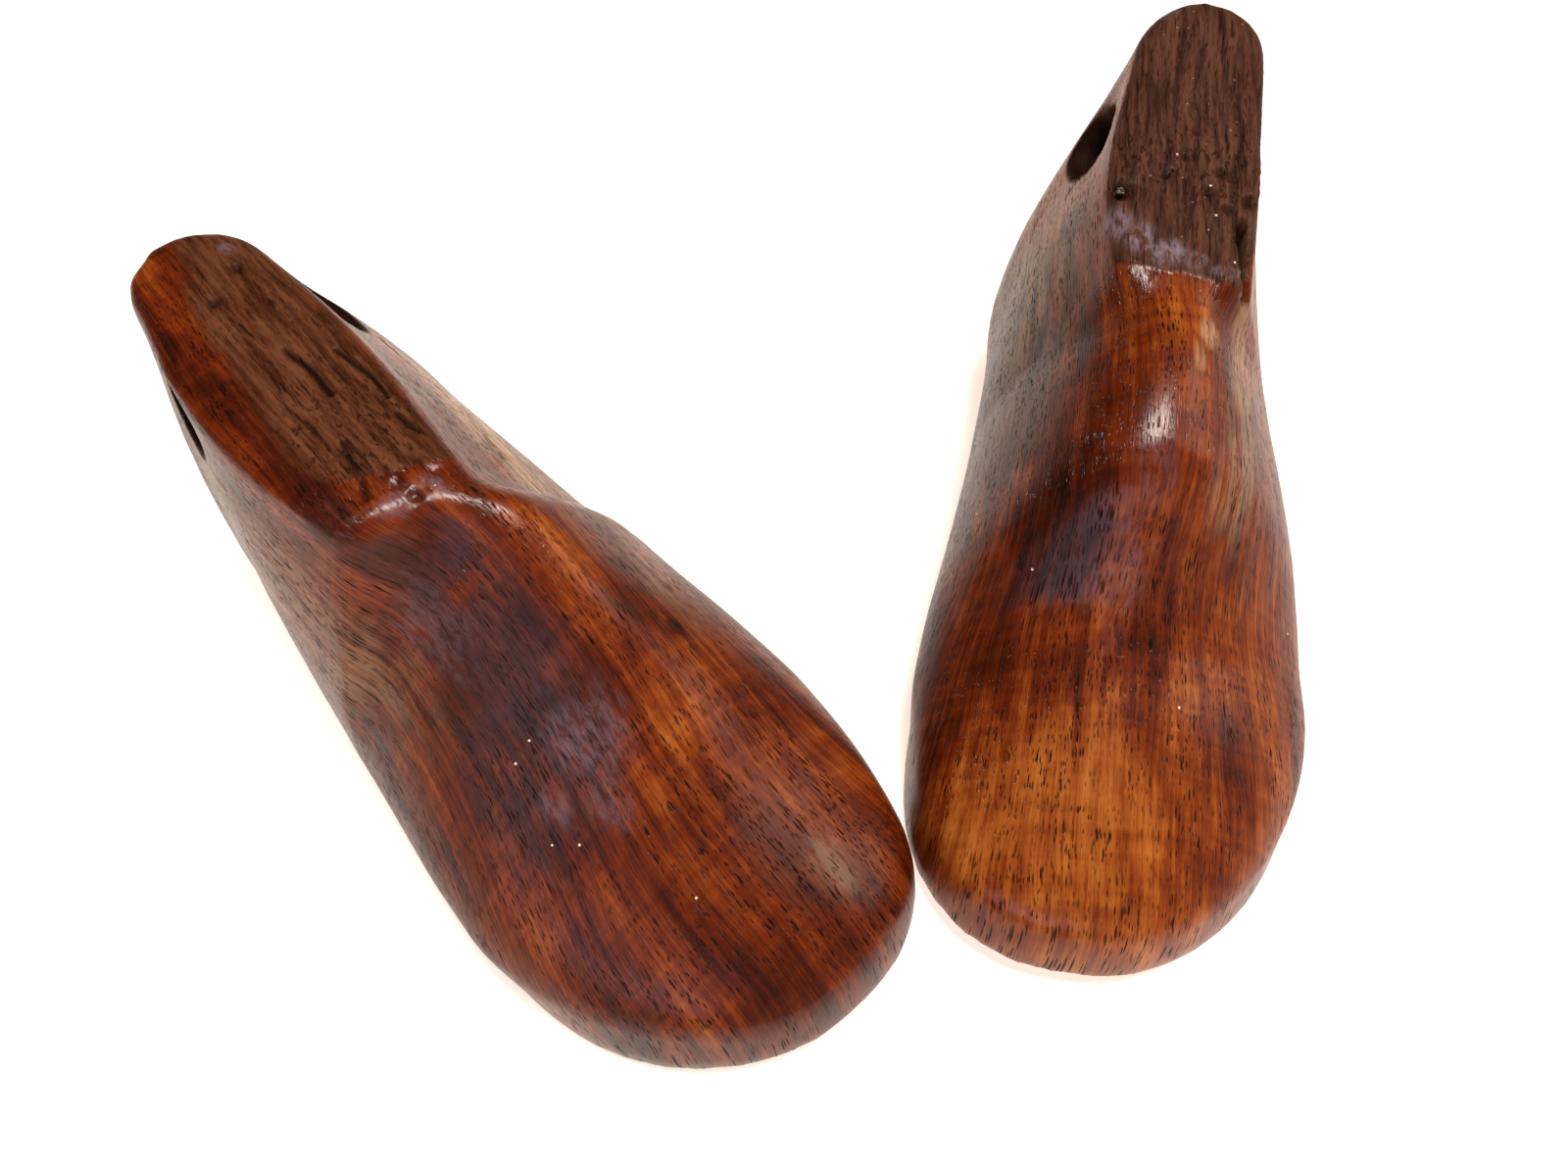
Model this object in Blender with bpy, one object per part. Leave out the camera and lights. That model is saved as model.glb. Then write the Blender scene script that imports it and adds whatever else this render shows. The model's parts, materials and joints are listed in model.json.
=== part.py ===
"""A pair of small wooden shoe lasts, one for each foot, standing on their soles with the toes together.

Each last is one solid block: a flat-topped cone over the heel and waist, an instep ridge, a low toe,
and one slanting hole through the cone. A small brad is left in the top of the left-foot last.

A last is lofted from columns that run from the heel to the toe. Along a last, s is measured from
the heel to the toe, u across it, positive towards the little toe, and z up from the floor.
"""
import math
from collections import namedtuple

import bmesh
import bpy
import numpy as np

# Plan of a last: half widths are taken from its middle line, inner is the big toe's side
LAST_LENGTH = 0.130
BALL_INNER_WIDTH = 0.0310
BALL_OUTER_WIDTH = 0.0281
WAIST_INNER_WIDTH = 0.0230
WAIST_OUTER_WIDTH = 0.0234
HEEL_HALF_WIDTH = 0.0204
HEEL_ROUNDING = 0.0242
TOE_SWING = 0.0060
WAIST_PLACE_SHARE = 0.38
BALL_PLACE_SHARE = 0.70
INNER_TOE_POWER = 2.23
OUTER_TOE_POWER = 2.23
TOE_SWING_POWER = 1.5

# Heights of the rim, where the upper wall meets the low wall over the sole
HEEL_RIM_HEIGHT = 0.0167
BALL_RIM_HEIGHT = 0.0094
TOE_RIM_HEIGHT = 0.0110

# Sole: its edge is drawn in under the rim, and it lifts at the heel's edge, the arch and the toe
SOLE_INSET = 0.0025
INSET_RUNOUT = 0.006
HEEL_LIFT = 0.0005
ARCH_RISE = 0.0015
TOE_SPRING = 0.0035
TOE_WALL_FLARE = 0.0017
FLARE_START_SHARE = 0.62
FLARE_END_SHARE = 0.87

# Flat top of the cone and the ridge ahead of it, and what each last has of its own there. The
# long edges of the tops bow outward, but for the left one's outer edge.
TOP_NARROWING = 0.0006
TOP_BACK_OFFSET = 0.0044
TOP_EDGE_ROUNDING = 0.0012
LIP_RUNOUT = 0.0015
LEFT_TOP_BACK = 0.0006
LEFT_TOP_FRONT = 0.0481
LEFT_BACK_HEIGHT = 0.0650
LEFT_FRONT_HEIGHT = 0.0534
LEFT_TOP_HALF_WIDTH = 0.0098
LEFT_INNER_BOW = 0.0029
LEFT_TOP_FRONT_OFFSET = 0.0006
LEFT_RIDGE_SWING = 0.0049
RIGHT_TOP_BACK = 0.0038
RIGHT_TOP_FRONT = 0.0583
RIGHT_BACK_HEIGHT = 0.0596
RIGHT_FRONT_HEIGHT = 0.0533
RIGHT_TOP_HALF_WIDTH = 0.0091
RIGHT_INNER_BOW = 0.0020
RIGHT_OUTER_BOW = 0.0031
RIGHT_TOP_FRONT_OFFSET = 0.0030
RIGHT_RIDGE_SWING = 0.0095

# Walls of the cone and the instep
HEEL_BACK_BULGE = 0.0010
CONE_LEAN = 0.0024
LEAN_RUNOUT = 0.025

# Shares: a place is a share of the way from the top's front end to the toe, the second figure is
# a height as a share of the top's front height, a shift as a share of the ridge's swing, the half
# width of the ridge's round arch as a share of the top's, or a fullness from a hollow wall, 0, to a
# round one, 1
LEFT_CROWN_SHARES = ((0.00, 1.00), (0.10, 0.99), (0.31, 0.90), (0.51, 0.57), (0.71, 0.44))
RIGHT_CROWN_SHARES = ((0.00, 1.00), (0.05, 0.99), (0.24, 0.86), (0.46, 0.61), (0.68, 0.44))
LEFT_SHIFT_SHARES = ((0.05, -0.10), (0.28, -0.50), (0.48, -1.00), (0.74, -0.45))
RIGHT_SHIFT_SHARES = ((0.05, -0.55), (0.28, -0.75), (0.48, -1.00), (0.74, -0.32))
LEFT_ARCH_SHARES = ((0.00, 1.00), (0.10, 0.88), (0.35, 0.62), (0.60, 0.28), (0.85, 0.00))
RIGHT_ARCH_SHARES = ((0.00, 1.00), (0.08, 0.60), (0.25, 0.34), (0.60, 0.16), (0.85, 0.00))
ARCH_POWER = 5.0
INNER_FULLNESS_SHARES = ((0.00, 0.02), (0.31, 0.47), (0.74, 0.68), (1.00, 0.95))
OUTER_FULLNESS_SHARES = ((0.00, 0.00), (0.31, 0.39), (0.74, 0.68), (1.00, 0.95))
SOLE_PLACE_SHARES = (0.00, 0.05, 0.24, 0.43, 0.62, 0.76, 1.00)
RIM_PLACE_SHARES = (0.00, 0.45, 0.70, 1.00)
TOE_FALL_SHARE = 0.167
TOE_DOME_POWER = 2.2
TOE_CAP_SHARE = 0.25

# Hole through the cone, level, its inner mouth nearer the heel
HOLE_DIAMETER = 0.011
HOLE_COVER = 0.0028
LEFT_HOLE_SETBACK = 0.0232
RIGHT_HOLE_SETBACK = 0.0205
LEFT_HOLE_SKEW = math.radians(31)
RIGHT_HOLE_SKEW = math.radians(12)
CUT_OVERRUN = 0.010

# Brad left in the top of the left-foot last, near its inner edge
BRAD_DIAMETER = 0.0012
BRAD_LENGTH = 0.006
BRAD_SETBACK = 0.034
BRAD_EDGE_INSET = 0.0018
BRAD_DEPTH = 0.0003
CLEARANCE = 0.0003

# How the two lasts stand: directions of the toes, and the right toe's place beside the left one
LEFT_HEADING = math.radians(-68.5)
RIGHT_HEADING = math.radians(-19.8)
RIGHT_TOE_SETBACK = 0.0248
TOE_GAP = 0.0004

# Counts of columns and rows in a last's mesh, and of sides on round pieces
CAP_COLUMNS = 9
CONE_COLUMNS = 13
INSTEP_COLUMNS = 14
WALL_ROWS = 11
LOW_ROWS = 3
ROUNDING_ROWS = 2
HOLE_SIDES = 36
BRAD_SIDES = 12
OUTLINE_LEVELS = 200
WELD_DISTANCE = 0.000001

Foot = namedtuple("Foot", "name side heading top_back top_front back_height front_height half_width "
                          "bows front_offset ridge_swing crown shifts arch hole_setback hole_skew")
LEFT = Foot("left_foot_last", 1, LEFT_HEADING, LEFT_TOP_BACK, LEFT_TOP_FRONT, LEFT_BACK_HEIGHT,
            LEFT_FRONT_HEIGHT, LEFT_TOP_HALF_WIDTH, {-1: LEFT_INNER_BOW, 1: 0}, LEFT_TOP_FRONT_OFFSET,
            LEFT_RIDGE_SWING, LEFT_CROWN_SHARES, LEFT_SHIFT_SHARES, LEFT_ARCH_SHARES, LEFT_HOLE_SETBACK,
            LEFT_HOLE_SKEW)
RIGHT = Foot("right_foot_last", -1, RIGHT_HEADING, RIGHT_TOP_BACK, RIGHT_TOP_FRONT, RIGHT_BACK_HEIGHT,
             RIGHT_FRONT_HEIGHT, RIGHT_TOP_HALF_WIDTH, {-1: RIGHT_INNER_BOW, 1: RIGHT_OUTER_BOW},
             RIGHT_TOP_FRONT_OFFSET, RIGHT_RIDGE_SWING, RIGHT_CROWN_SHARES, RIGHT_SHIFT_SHARES,
             RIGHT_ARCH_SHARES, RIGHT_HOLE_SETBACK, RIGHT_HOLE_SKEW)


def clear_scene():
    """Remove every object of the open scene."""
    for item in list(bpy.data.objects):
        bpy.data.objects.remove(item, do_unlink=True)


def make_material(name, colour, roughness, metallic):
    """One plain Principled material."""
    material = bpy.data.materials.new(name)
    material.use_nodes = True
    shader = material.node_tree.nodes["Principled BSDF"]
    shader.inputs["Base Color"].default_value = (*colour, 1.0)
    shader.inputs["Roughness"].default_value = roughness
    shader.inputs["Metallic"].default_value = metallic
    return material


def smooth_curve(places, values, at):
    """Cubic curve through the points that never overshoots them; it stays level between equal ones."""
    x, y = np.asarray(places, float), np.asarray(values, float)
    step = np.diff(x)
    slope = np.diff(y) / step
    tangent = np.zeros_like(y)
    for i in range(1, len(x) - 1):
        if slope[i - 1] * slope[i] > 0:
            before, after = 2 * step[i] + step[i - 1], step[i] + 2 * step[i - 1]
            tangent[i] = (before + after) / (before / slope[i - 1] + after / slope[i])
    tangent[0], tangent[-1] = slope[0], slope[-1]
    for end, near in ((0, 0), (-1, -1)):
        if len(x) > 2 and slope[near] == 0:
            tangent[end] = 0
    at = np.clip(at, x[0], x[-1])
    i = np.clip(np.searchsorted(x, at) - 1, 0, len(step) - 1)
    t = (at - x[i]) / step[i]
    rise = y[i] * (1 + 2 * t) * (1 - t) ** 2 + y[i + 1] * t * t * (3 - 2 * t)
    return rise + step[i] * t * (1 - t) * (tangent[i] * (1 - t) - tangent[i + 1] * t)


def ahead(foot, shares):
    """Places between the front end of the top and the toe."""
    return [foot.top_front + share * (LAST_LENGTH - foot.top_front) for share in shares]


def column_places(foot):
    """Where each column stands at the rim, s, and where it reaches the top, t."""
    turn = np.linspace(0, math.pi / 2, CAP_COLUMNS, endpoint=False)
    cone_end = foot.top_front + CONE_LEAN
    ball = BALL_PLACE_SHARE * LAST_LENGTH
    toe_start = ball + TOE_CAP_SHARE * (LAST_LENGTH - ball)
    heel_s = HEEL_ROUNDING * (1 - np.cos(turn))
    heel_t = foot.top_back + foot.half_width * (1 - np.cos(turn))
    cone_s = np.linspace(HEEL_ROUNDING, cone_end, CONE_COLUMNS)
    cone_t = np.linspace(foot.top_back + foot.half_width, foot.top_front, CONE_COLUMNS)
    instep_s = np.linspace(cone_end + LIP_RUNOUT, toe_start, INSTEP_COLUMNS)
    toe_s = LAST_LENGTH - (LAST_LENGTH - toe_start) * (1 - np.sin(turn[1:]))
    front_s = np.concatenate([instep_s, toe_s, [LAST_LENGTH]])
    upright = np.clip((front_s - cone_end) / LEAN_RUNOUT, 0, 1)
    front_t = front_s - CONE_LEAN * (1 - upright) ** 2
    s = np.concatenate([heel_s, cone_s, front_s])
    t = np.concatenate([heel_t, cone_t, front_t])
    return s, t


def heel_turn(s):
    """Share of the full width across the rounded heel: a quarter of an ellipse."""
    back = np.clip(1 - s / HEEL_ROUNDING, 0, 1)
    return np.sqrt(1 - back ** 2)


def half_width(s, waist, ball, power):
    """Half width of one side in plan: heel, waist and ball, then a rounded toe."""
    ball_place = BALL_PLACE_SHARE * LAST_LENGTH
    places = (0, HEEL_ROUNDING, WAIST_PLACE_SHARE * LAST_LENGTH, ball_place)
    width = smooth_curve(places, (HEEL_HALF_WIDTH, HEEL_HALF_WIDTH, waist, ball), s)
    toe = np.clip((s - ball_place) / (LAST_LENGTH - ball_place), 0, 1)
    return width * heel_turn(s) * (1 - toe ** power) ** (1 / power)


def outline(s):
    """Widest line of the inner and the outer side in plan, as u at each place s."""
    ball_place = BALL_PLACE_SHARE * LAST_LENGTH
    toe = np.clip((s - ball_place) / (LAST_LENGTH - ball_place), 0, 1)
    middle = -TOE_SWING * toe ** TOE_SWING_POWER
    inner = middle - half_width(s, WAIST_INNER_WIDTH, BALL_INNER_WIDTH, INNER_TOE_POWER)
    outer = middle + half_width(s, WAIST_OUTER_WIDTH, BALL_OUTER_WIDTH, OUTER_TOE_POWER)
    return inner, outer


def rim_height(s):
    """Height of the rim over the floor."""
    waist_height = (HEEL_RIM_HEIGHT + BALL_RIM_HEIGHT) / 2
    heights = (HEEL_RIM_HEIGHT, waist_height, BALL_RIM_HEIGHT, TOE_RIM_HEIGHT)
    return smooth_curve([share * LAST_LENGTH for share in RIM_PLACE_SHARES], heights, s)


def sole_height(s):
    """Height of the sole: flat under the heel and the tread, lifted between them and at the toe."""
    heights = (HEEL_LIFT, 0, 0, ARCH_RISE, 0, 0, TOE_SPRING)
    return smooth_curve([share * LAST_LENGTH for share in SOLE_PLACE_SHARES], heights, s)


def top_plane(foot, t):
    """Height of the sloping flat top."""
    share = (t - foot.top_back) / (foot.top_front - foot.top_back)
    return foot.back_height + (foot.front_height - foot.back_height) * share


def crown_height(foot, t, rim):
    """Height of the last's highest line: the flat top, the instep, then the dome of the toe."""
    places = ahead(foot, [place for place, _ in foot.crown])
    heights = [share * foot.front_height for _, share in foot.crown]
    instep = smooth_curve(places, heights, t)
    dome = np.clip((t - places[-1]) / (LAST_LENGTH - places[-1]), 0, 1)
    fall = TOE_FALL_SHARE * foot.front_height * dome
    round_off = (1 - dome ** (2 * TOE_DOME_POWER)) ** (1 / TOE_DOME_POWER)
    toe = rim + (heights[-1] - fall - rim) * round_off
    return np.where(t <= foot.top_front, top_plane(foot, t), np.where(dome > 0, toe, instep))


def crown_middle(foot, t):
    """Where the middle of the top or of the ridge lies across the last."""
    places = [0, foot.top_front] + ahead(foot, [place for place, _ in foot.shifts])
    shifts = [TOP_BACK_OFFSET, foot.front_offset]
    shifts += [share * foot.ridge_swing for _, share in foot.shifts]
    return smooth_curve(places + [LAST_LENGTH], shifts + [-TOE_SWING], t)


def top_half_width(foot, t, side):
    """Half width of one side of the flat top, then of the arch of the ridge ahead of it."""
    back = np.clip(1 - (t - foot.top_back) / foot.half_width, 0, 1)
    straight = foot.top_front - foot.top_back - foot.half_width
    forward = np.clip(1 - (foot.top_front - t) / straight, 0, 1)
    arch_places = ahead(foot, [place for place, _ in foot.arch])
    shares = smooth_curve(arch_places, [share for _, share in foot.arch], t)
    edge = foot.half_width * np.sqrt(1 - back ** 2) - TOP_NARROWING * forward
    return (edge + foot.bows[side] * np.sin(math.pi * forward)) * shares


def fullness(foot, s, side):
    """How far a side's wall swells between the rim and the top; both sides agree at the heel's seam."""
    inner, outer = (
        smooth_curve(ahead(foot, [place for place, _ in shares]), [share for _, share in shares], s)
        for shares in (INNER_FULLNESS_SHARES, OUTER_FULLNESS_SHARES)
    )
    return (inner + outer) / 2 + side * (outer - inner) / 2 * heel_turn(s)


def plan_normal(s, u, side):
    """Outward direction of a side's widest line in plan, as its s and u parts."""
    along, across = np.gradient(s), np.gradient(u)
    length = np.hypot(along, across)
    normal_s, normal_u = -side * across / length, side * along / length
    normal_s[-1], normal_u[-1] = 1, 0
    return normal_s, normal_u


def side_rows(foot, s, t, side, lean_back):
    """One side of the last: an array of columns by rows, from the sole's edge up to the top."""
    inner, outer = outline(s)
    edge = outer if side > 0 else inner
    rim, crown = rim_height(s), crown_height(foot, t, rim_height(s))
    normal_s, normal_u = plan_normal(s, edge, side)
    flare_run = (s / LAST_LENGTH - FLARE_START_SHARE) / (FLARE_END_SHARE - FLARE_START_SHARE)
    flare = np.clip(flare_run, 0, 1)
    back = TOE_WALL_FLARE * flare
    rim_s, rim_u = s - back * normal_s, edge - back * normal_u
    is_flat = t <= foot.top_front
    top_width = top_half_width(foot, t, side)
    flat_width = np.where(is_flat, top_width, 0)
    arch_u = side * (top_width - flat_width)
    top_u = crown_middle(foot, t) + side * flat_width
    rounding = np.where(is_flat, TOP_EDGE_ROUNDING, 0)
    width = np.abs(outer - inner) / 2
    drawn_in = SOLE_INSET * np.clip(width / INSET_RUNOUT, 0, 1) * (1 - flare)
    rows = []

    for share in np.linspace(1, 0, LOW_ROWS, endpoint=False):
        turn = math.sin(share * math.pi / 2)
        low_s = rim_s + (s - rim_s) * turn
        low_u = rim_u + (edge - side * drawn_in - rim_u) * turn
        rows.append((low_s, low_u, rim + (sole_height(s) - rim) * share))

    full = fullness(foot, s, side)
    bulge = HEEL_BACK_BULGE * np.clip(1 - s / HEEL_ROUNDING, 0, 1)
    for share in np.sin(np.linspace(0, math.pi / 2, WALL_ROWS)):
        swell = full * math.sqrt(1 - share ** 2) + (1 - full) * (1 - share ** 2) ** 1.5
        wall_s = s + (t - s) * share - back * (normal_s * (1 - share) + lean_back * share)
        wall_s = wall_s - bulge * 4 * share * (1 - share)
        wall_u = top_u + arch_u * math.sqrt(1 - share ** ARCH_POWER) + (rim_u - top_u - arch_u) * swell
        rows.append((wall_s, wall_u, rim + (crown - rounding - rim) * share))

    cap = np.clip(1 - (t - foot.top_back) / foot.half_width, 0, 1)
    for turn in np.linspace(0, math.pi / 2, ROUNDING_ROWS + 1)[1:]:
        inward = rounding * (1 - math.cos(turn))
        round_s = t - back * lean_back + inward * cap
        round_u = top_u - side * inward * np.sqrt(1 - cap ** 2)
        rows.append((round_s, round_u, crown - rounding * (1 - math.sin(turn))))
    return np.array(rows).transpose(2, 0, 1)


def last_rings(foot):
    """Closed rings of points round the last, one ring a column, in the last's own frame."""
    s, t = column_places(foot)
    inner, outer = outline(s)
    lean_back = (plan_normal(s, inner, -1)[0] + plan_normal(s, outer, 1)[0]) / 2
    outer_side = side_rows(foot, s, t, 1, lean_back)
    inner_side = side_rows(foot, s, t, -1, lean_back)
    rings = np.concatenate([outer_side, inner_side[:, ::-1]], axis=1)
    rings[:, :, 0] -= LAST_LENGTH / 2
    rings[:, :, 1] *= foot.side
    return rings


def last_mesh(foot):
    """Skin the rings and weld the seams at the heel, the toe and the ridge."""
    rings = last_rings(foot)
    columns, points = rings.shape[:2]
    mesh = bpy.data.meshes.new(foot.name)
    shell = bmesh.new()
    verts = [[shell.verts.new(point) for point in ring] for ring in rings]
    for i in range(columns - 1):
        for j in range(points):
            k = (j + 1) % points
            shell.faces.new((verts[i][j], verts[i + 1][j], verts[i + 1][k], verts[i][k]))
    bmesh.ops.remove_doubles(shell, verts=shell.verts, dist=WELD_DISTANCE)
    bmesh.ops.recalc_face_normals(shell, faces=shell.faces)
    shell.to_mesh(mesh)
    shell.free()
    mesh.shade_smooth()
    mesh.set_sharp_from_angle(angle=math.radians(35))
    return mesh


def add_object(name, mesh, parent=None):
    """Link a mesh to the scene as a named object."""
    item = bpy.data.objects.new(name, mesh)
    bpy.context.scene.collection.objects.link(item)
    item.parent = parent
    return item


def rod_mesh(name, radius, length, sides):
    """A closed round rod along Z, centred on its origin."""
    mesh = bpy.data.meshes.new(name)
    rod = bmesh.new()
    bmesh.ops.create_cone(rod, cap_ends=True, segments=sides, radius1=radius, radius2=radius, depth=length)
    rod.to_mesh(mesh)
    rod.free()
    mesh.shade_smooth()
    mesh.set_sharp_from_angle(angle=math.radians(35))
    return mesh


def cut(body, cutter):
    """Take a cutter's shape out of a body and keep the cutter as a guide."""
    cutter.hide_render = True
    cutter.display_type = "WIRE"
    modifier = body.modifiers.new(cutter.name, "BOOLEAN")
    modifier.operation = "DIFFERENCE"
    modifier.solver = "EXACT"
    modifier.object = cutter


def bore_cone(foot, body):
    """The slanting hole through the cone, under the flat top."""
    radius = HOLE_DIAMETER / 2
    length = 2 * (BALL_INNER_WIDTH + BALL_OUTER_WIDTH) + CUT_OVERRUN
    cutter = add_object(foot.name + "_hole", rod_mesh("hole", radius, length, HOLE_SIDES), body)
    height = top_plane(foot, foot.hole_setback) - HOLE_COVER - radius
    middle = float(crown_middle(foot, np.array([foot.hole_setback]))[0])
    cutter.location = (foot.hole_setback - LAST_LENGTH / 2, foot.side * middle, height)
    cutter.rotation_euler = (-foot.side * math.pi / 2, 0, -foot.side * foot.hole_skew)
    cut(body, cutter)


def make_last(foot, material):
    """One last with its hole, standing at the middle of the floor with its toe along its heading."""
    body = add_object(foot.name, last_mesh(foot))
    body.data.materials.append(material)
    body.rotation_euler = (0, 0, foot.heading)
    bore_cone(foot, body)
    return body


def make_brad(foot, body, material):
    """The brad in the flat top, just below its surface, and the blind hole it sits in."""
    place = np.array([BRAD_SETBACK])
    inner_edge = float((top_half_width(foot, place, -1) - crown_middle(foot, place))[0])
    across = foot.side * (BRAD_EDGE_INSET - inner_edge)
    along = BRAD_SETBACK - LAST_LENGTH / 2
    slope = math.atan2(foot.back_height - foot.front_height, foot.top_front - foot.top_back)
    surface = top_plane(foot, BRAD_SETBACK)

    brad = add_object("left_foot_brad", rod_mesh("brad", BRAD_DIAMETER / 2, BRAD_LENGTH, BRAD_SIDES), body)
    brad.data.materials.append(material)
    middle = BRAD_DEPTH + BRAD_LENGTH / 2
    brad.location = (along - middle * math.sin(slope), across, surface - middle * math.cos(slope))
    brad.rotation_euler = (0, slope, 0)

    wall = BRAD_DIAMETER / 2 + CLEARANCE
    depth = BRAD_DEPTH + BRAD_LENGTH + CLEARANCE
    cutter = add_object("brad_hole", rod_mesh("brad_hole", wall, 2 * depth, BRAD_SIDES), body)
    cutter.location = (along, across, surface)
    cutter.rotation_euler = (0, slope, 0)
    cut(body, cutter)


def turned(foot, along, across):
    """Points of a last in plan, turned to its heading round its own middle."""
    cosine, sine = math.cos(foot.heading), math.sin(foot.heading)
    return np.stack([along * cosine - across * sine, along * sine + across * cosine], axis=-1)


def standing_outline(foot):
    """The widest line of a last in plan, as it stands."""
    s = column_places(foot)[0]
    inner, outer = outline(s)
    along = np.concatenate([s, s[::-1]]) - LAST_LENGTH / 2
    return turned(foot, along, foot.side * np.concatenate([inner, outer[::-1]]))


def standing_points(foot, shift):
    """Every point of a last in plan, as it stands, moved by a shift."""
    rings = last_rings(foot)
    return turned(foot, rings[:, :, 0], rings[:, :, 1]).reshape(-1, 2) + shift


def crossings(shape, levels, pick):
    """The greatest or least x of a closed outline at each level of y."""
    start, end = shape, np.roll(shape, -1, axis=0)
    rise = end[:, 1] - start[:, 1]
    rise = np.where(rise == 0, WELD_DISTANCE, rise)
    share = (levels[:, None] - start[None, :, 1]) / rise
    x = start[None, :, 0] + share * (end[:, 0] - start[:, 0])
    missed = -pick(np.array([-math.inf, math.inf]))
    return pick(np.where((share >= 0) & (share <= 1), x, missed), axis=1)


def place_pair(left, right):
    """Bring the toes together with a gap, then centre the pair on the origin."""
    left_shape, right_shape = standing_outline(LEFT), standing_outline(RIGHT)
    tip = LAST_LENGTH / 2
    setback = tip * (math.sin(RIGHT.heading) - math.sin(LEFT.heading)) + RIGHT_TOE_SETBACK
    right_shape = right_shape - np.array([0, setback])
    low = max(left_shape[:, 1].min(), right_shape[:, 1].min())
    high = min(left_shape[:, 1].max(), right_shape[:, 1].max())
    levels = np.linspace(low, high, OUTLINE_LEVELS)[1:-1]
    room = crossings(left_shape, levels, np.min) - crossings(right_shape, levels, np.max)
    shift = np.array([room.min() - TOE_GAP, -setback])
    both = np.concatenate([standing_points(LEFT, np.zeros(2)), standing_points(RIGHT, shift)])
    centre = (both.min(axis=0) + both.max(axis=0)) / 2
    left.location = (*-centre, 0)
    right.location = (*(shift - centre), 0)


def make_pair():
    """The two lasts and the brad."""
    red_wood = make_material("left_last_wood", (0.16, 0.045, 0.018), 0.32, 0.0)
    brown_wood = make_material("right_last_wood", (0.18, 0.055, 0.02), 0.30, 0.0)
    old_steel = make_material("brad_steel", (0.45, 0.42, 0.38), 0.35, 1.0)
    left = make_last(LEFT, red_wood)
    right = make_last(RIGHT, brown_wood)
    make_brad(LEFT, left, old_steel)
    place_pair(left, right)


clear_scene()
make_pair()
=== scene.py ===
"""Looks of a pair of small wooden shoe lasts: fine carved skins, stained and varnished wood, and the studio.

Each last has its own frame: s runs from the heel to the toe, u across it, positive towards the little
toe, and z up from the floor. The frame's mounts under the heel and the tread give its place. Lengths are
in metres, and in millimetres for the material's patterns.
"""
import json
import math
from collections import namedtuple

import bmesh
import bpy
import numpy as np
from mathutils import Matrix, Vector


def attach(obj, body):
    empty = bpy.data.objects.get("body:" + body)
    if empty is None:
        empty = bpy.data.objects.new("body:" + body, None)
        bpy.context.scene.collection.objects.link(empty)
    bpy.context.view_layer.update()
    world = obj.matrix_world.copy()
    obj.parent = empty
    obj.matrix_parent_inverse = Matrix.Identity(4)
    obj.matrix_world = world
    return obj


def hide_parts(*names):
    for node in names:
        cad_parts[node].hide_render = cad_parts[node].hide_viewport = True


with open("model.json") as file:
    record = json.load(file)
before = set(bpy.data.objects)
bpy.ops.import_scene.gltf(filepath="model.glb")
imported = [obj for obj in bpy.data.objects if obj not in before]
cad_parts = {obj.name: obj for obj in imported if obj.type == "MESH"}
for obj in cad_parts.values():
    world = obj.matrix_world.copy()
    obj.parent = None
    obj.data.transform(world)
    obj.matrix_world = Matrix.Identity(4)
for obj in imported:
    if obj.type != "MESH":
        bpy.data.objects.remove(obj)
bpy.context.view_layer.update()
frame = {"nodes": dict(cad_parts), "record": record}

MM_PER_M = 1000

# Camera, as it stood for the photograph
CAMERA_PLACE = (0.04426, -0.09016, 0.15256)
CAMERA_AZIMUTH = math.radians(117.56)
CAMERA_DOWN = math.radians(57.84)
CAMERA_ROLL = math.radians(-0.13)
CAMERA_LENS = 24.07
CAMERA_SENSOR = 36
NEAR_CLIP = 0.01

# Floor, which glows a little as a white sheet under a photographer's lights does
FLOOR_SIZE = 6.0
FLOOR_COLOUR = (0.55, 0.54, 0.53, 1)
FLOOR_ROUGHNESS = 0.9
FLOOR_GLOW_COLOUR = (1.0, 0.87, 0.76, 1)
FLOOR_GLOW = 0.88

# Room: light low down on the side of this azimuth, dark above and behind
SKY_AZIMUTH = -40
SKY_BY_HEIGHT = (0.95, 0.15)
SKY_BY_SIDE = (-0.25, 0.35, 0.02, 1.0)
SKY_DARK = (0.015, 0.015, 0.015, 1)
SKY_LIGHT = (0.38, 0.31, 0.26, 1)

# Soft lights: azimuth and elevation in degrees, distance, width and height, watts and colour
Light = namedtuple("Light", "name azimuth elevation distance size power colour")
LIGHT_TARGET = (0, 0, 0.03)
LIGHTS = (
    Light("window", -84, 29, 1.3, (1.0, 0.34), 2.7, (0.78, 0.80, 1.0)),
    Light("ceiling", 35, 84, 1.5, (0.30, 0.30), 20, (1.0, 0.93, 0.86)),
    Light("side", 35, 37, 1.4, (0.70, 0.70), 4.2, (1.0, 0.92, 0.82)),
)

# Where the frame's mount under the heel lies along a last, and the last's length
HEEL_SEAT_PLACE = 0.020
LAST_LENGTH = 0.130
HOLE_RADIUS = 0.0055

# Fineness of the skins
CREASE_ANGLE = math.radians(38)
WELD_DIGITS = 6
FACET_SPLITS = 6
ROUNDING_SHARE = 0.75
VOXEL_SIZE = 0.0005
REFINE_ROUNDS = 2
FINE_POINTS = 130000
CRACK_LEAST = 0.001
TOP_LEAST = 0.05
TINY = 1e-20

# Smoothing: how far each step pulls a point to its neighbours, and the steps all over and in each zone
PULL = 0.5
SMOOTH_STEPS = 4
HUMP_STEPS = 60
EDGE_STEPS = 40
RIM_STEPS = 30

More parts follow.
